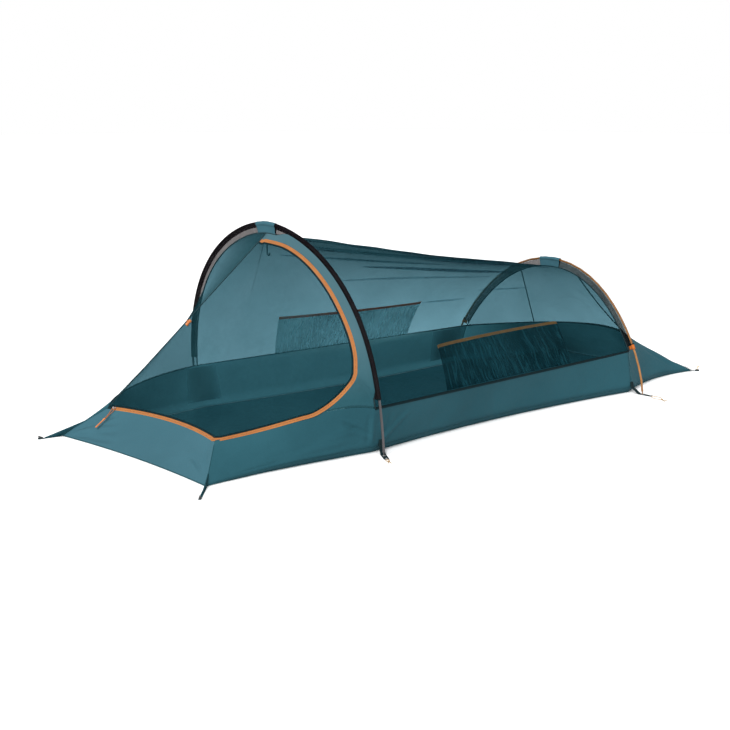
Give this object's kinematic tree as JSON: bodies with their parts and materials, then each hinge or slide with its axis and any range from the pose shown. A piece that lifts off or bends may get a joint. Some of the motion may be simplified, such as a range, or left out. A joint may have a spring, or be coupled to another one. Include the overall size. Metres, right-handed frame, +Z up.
{
  "type": "one-person two-hoop tent",
  "caption": "Low one-person tent on two bent poles, with a bathtub floor, mesh walls, a zipped mesh door, inner pockets, peg straps and foot cords.",
  "frame": {"origin": "ground level under the middle of the tent's overall length, on its centre plane", "axes": "+X from the door end to the foot end, +Y to the far side, +Z up"},
  "size_m": [2.8806, 1.4228, 0.7753],
  "materials": {
    "canopy_mesh": "fine translucent mesh",
    "wall_cloth": "coated ripstop",
    "strip_cloth": "coated ripstop",
    "floor_cloth": "coated taffeta",
    "orange_tape": "woven tape",
    "dark_binding": "woven tape",
    "black_mesh": "open mesh",
    "grey_tube": "anodised",
    "gold_tube": "anodised",
    "elastic_cord": "braided over rubber",
    "dark_strap": "webbing",
    "sand_cord": "braided cord",
    "zip_metal": "satin",
    "peg_metal": "anodised"
  },
  "bodies": {
    "tent": {"canopy": "canopy_mesh", "front_far_panel": "canopy_mesh", "rear_near_mesh": "canopy_mesh", "rear_end_mesh": "canopy_mesh", "rear_far_mesh": "canopy_mesh", "near_wall": "wall_cloth", "far_wall": "wall_cloth", "rear_wall": "wall_cloth", "front_wall": "strip_cloth", "front_near_panel": "strip_cloth", "front_top_patch": "strip_cloth", "rear_top_patch": "strip_cloth", "floor": "floor_cloth", "door_zip_tape": "orange_tape", "pocket_trim_near": "orange_tape", "pocket_trim_far": "orange_tape", "rim_binding": "dark_binding", "front_hoop_seam": "dark_binding", "rear_hoop_seam": "dark_binding", "door_hinge_seam": "dark_binding", "front_sleeve_near": "black_mesh", "front_sleeve_far": "black_mesh", "rear_sleeve_near": "black_mesh", "rear_sleeve_far": "black_mesh", "pocket_near": "black_mesh", "pocket_far": "black_mesh", "front_pole_1": "grey_tube", "front_pole_2": "grey_tube", "front_pole_3": "grey_tube", "front_pole_4": "grey_tube", "front_pole_5": "grey_tube", "peg_near_front": "grey_tube", "peg_far_front": "grey_tube", "rear_pole_1": "gold_tube", "rear_pole_2": "gold_tube", "rear_pole_3": "gold_tube", "rear_pole_4": "gold_tube", "peg_near_rear": "peg_metal", "peg_far_rear": "peg_metal", "front_shock_cord": "elastic_cord", "rear_shock_cord": "elastic_cord", "corner_strap_near_front": "dark_strap", "corner_strap_far_front": "dark_strap", "corner_strap_near_rear": "dark_strap", "corner_strap_far_rear": "dark_strap", "front_foot_strap_near": "dark_strap", "front_foot_strap_far": "dark_strap", "rear_foot_strap_near": "dark_strap", "rear_foot_strap_far": "dark_strap", "hook_tab": "dark_strap", "front_foot_cord_near": "sand_cord", "front_foot_cord_far": "sand_cord", "rear_foot_cord_near": "sand_cord", "rear_foot_cord_far": "sand_cord"},
    "door": {"door_panel": "canopy_mesh"},
    "slider": {"zip_slider": "zip_metal", "zip_pull_cord": "orange_tape", "zip_pull_tab": "orange_tape"},
    "hook": {"ceiling_hook": "strip_cloth"},
    "toggle": {"door_toggle": "orange_tape"}
  },
  "joints": [
    {"name": "door_swing", "type": "hinge", "parent": "tent", "child": "door", "pos_m": [-1.2145, 0.329, 0.107], "axis": [-0.5666, 0.3825, -0.7298], "range_deg": [0, 115]},
    {"name": "slider_travel", "type": "hinge", "parent": "tent", "child": "slider", "pos_m": [-2.38001, 0, -0.0225], "axis": [-0.1104, 0, 0.9939], "range_deg": [-28.2, 0]},
    {"name": "hook_swing", "type": "hinge", "parent": "tent", "child": "hook", "pos_m": [-0.72722, 0, 0.70466], "axis": [0, 1, 0], "range_deg": [-70, 40]},
    {"name": "toggle_swing", "type": "hinge", "parent": "door", "child": "toggle", "pos_m": [-0.97086, 0.1645, 0.42086], "axis": [-0.5666, 0.3825, -0.7298], "range_deg": [0, 25], "stiffness_Nm_per_rad": 0.0004}
  ]
}
